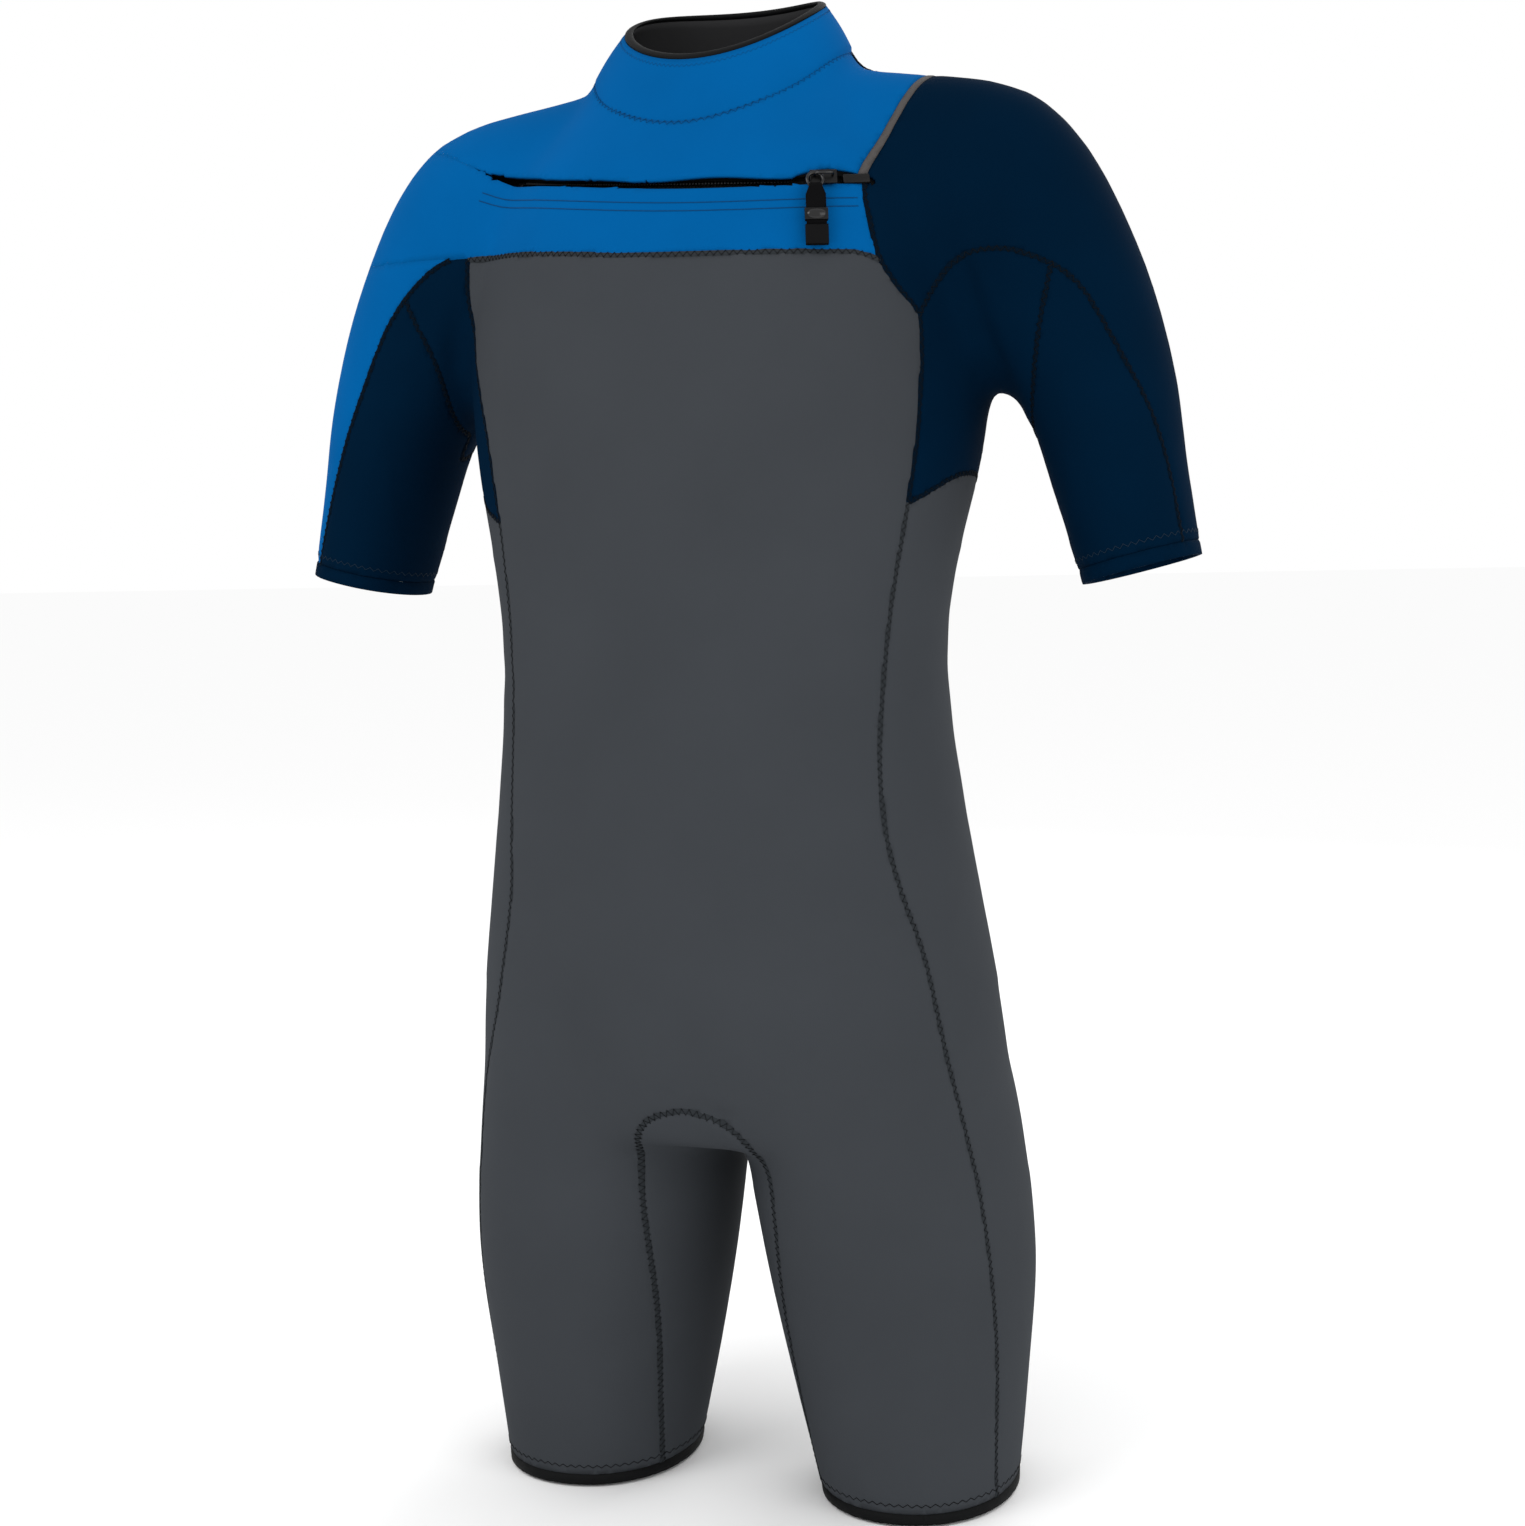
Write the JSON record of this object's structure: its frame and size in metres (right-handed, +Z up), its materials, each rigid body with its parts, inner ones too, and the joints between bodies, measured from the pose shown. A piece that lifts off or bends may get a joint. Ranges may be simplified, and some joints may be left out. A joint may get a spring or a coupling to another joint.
{
  "type": "wetsuit",
  "caption": "Short-sleeved, above-knee wetsuit with a blue upper chest that opens as a flap along a curved chest zip, navy shoulder and sleeves, and grey body panels.",
  "frame": {"origin": "under the middle of the suit, on the plane of the two leg hems", "axes": "+Z up through the neck, the chest faces -Y, the wearer's left is +X"},
  "size_m": [0.6248, 0.247, 1.0062],
  "materials": {
    "blue_neoprene": "matt nylon jersey",
    "navy_neoprene": "matt nylon jersey",
    "grey_neoprene": "matt nylon jersey",
    "black_binding": "matt tape",
    "grey_binding": "matt tape",
    "dark_lining": "matt jersey",
    "black_webbing": "woven nylon",
    "black_plastic": "semi-gloss",
    "black_rubber": "moulded"
  },
  "bodies": {
    "suit": {"left_leg_hem_binding": "black_binding", "right_leg_hem_binding": "black_binding", "left_sleeve_hem": "navy_neoprene", "right_sleeve_hem": "navy_neoprene", "left_shoulder_panel": "navy_neoprene", "right_shoulder_panel": "blue_neoprene", "left_sleeve_panel": "navy_neoprene", "right_sleeve_panel": "navy_neoprene", "left_underarm_panel": "navy_neoprene", "right_underarm_panel": "navy_neoprene", "left_side_panel": "grey_neoprene", "right_side_panel": "grey_neoprene", "lower_chest_panel": "blue_neoprene", "front_body_panel": "grey_neoprene", "back_body_panel": "grey_neoprene", "upper_back_yoke": "navy_neoprene", "crotch_gusset": "grey_neoprene", "zip_tape_lower": "black_webbing", "zip_teeth_lower": "black_plastic", "zip_end_stop": "black_plastic", "zip_garage": "black_plastic", "storm_flap": "dark_lining"},
    "entry_flap": {"collar_outer": "blue_neoprene", "collar_lining": "dark_lining", "collar_rim": "black_binding", "entry_flap_panel": "blue_neoprene", "flap_edge_binding": "grey_binding", "zip_tape_upper": "black_webbing", "zip_teeth_upper": "black_plastic"},
    "slider": {"slider_body": "black_plastic", "slider_bridge": "black_plastic"},
    "pull_ring": {"pull_ring": "black_plastic"},
    "pull": {"pull_webbing": "black_webbing", "pull_keeper": "black_plastic", "pull_tab": "black_rubber"}
  },
  "joints": [
    {"name": "flap_open", "type": "hinge", "parent": "suit", "child": "entry_flap", "pos_m": [0, 0.0819, 0.974], "axis": [-1, 0, 0], "range_deg": [0, 75]},
    {"name": "slider_travel", "type": "hinge", "parent": "suit", "child": "slider", "pos_m": [0.00932, 0.12021, 0.90707], "axis": [0.0584, -0.1771, 0.9825], "range_deg": [-58, 0]},
    {"name": "ring_swing", "type": "hinge", "parent": "slider", "child": "pull_ring", "pos_m": [0.09216, -0.08762, 0.86846], "axis": [0.359, -0.8598, 0.3631], "range_deg": [-22, 30]},
    {"name": "pull_swing", "type": "hinge", "parent": "pull_ring", "child": "pull", "pos_m": [0.09337, -0.0905, 0.86045], "axis": [-0.9228, -0.3853, 0], "range_deg": [0, 100]}
  ]
}
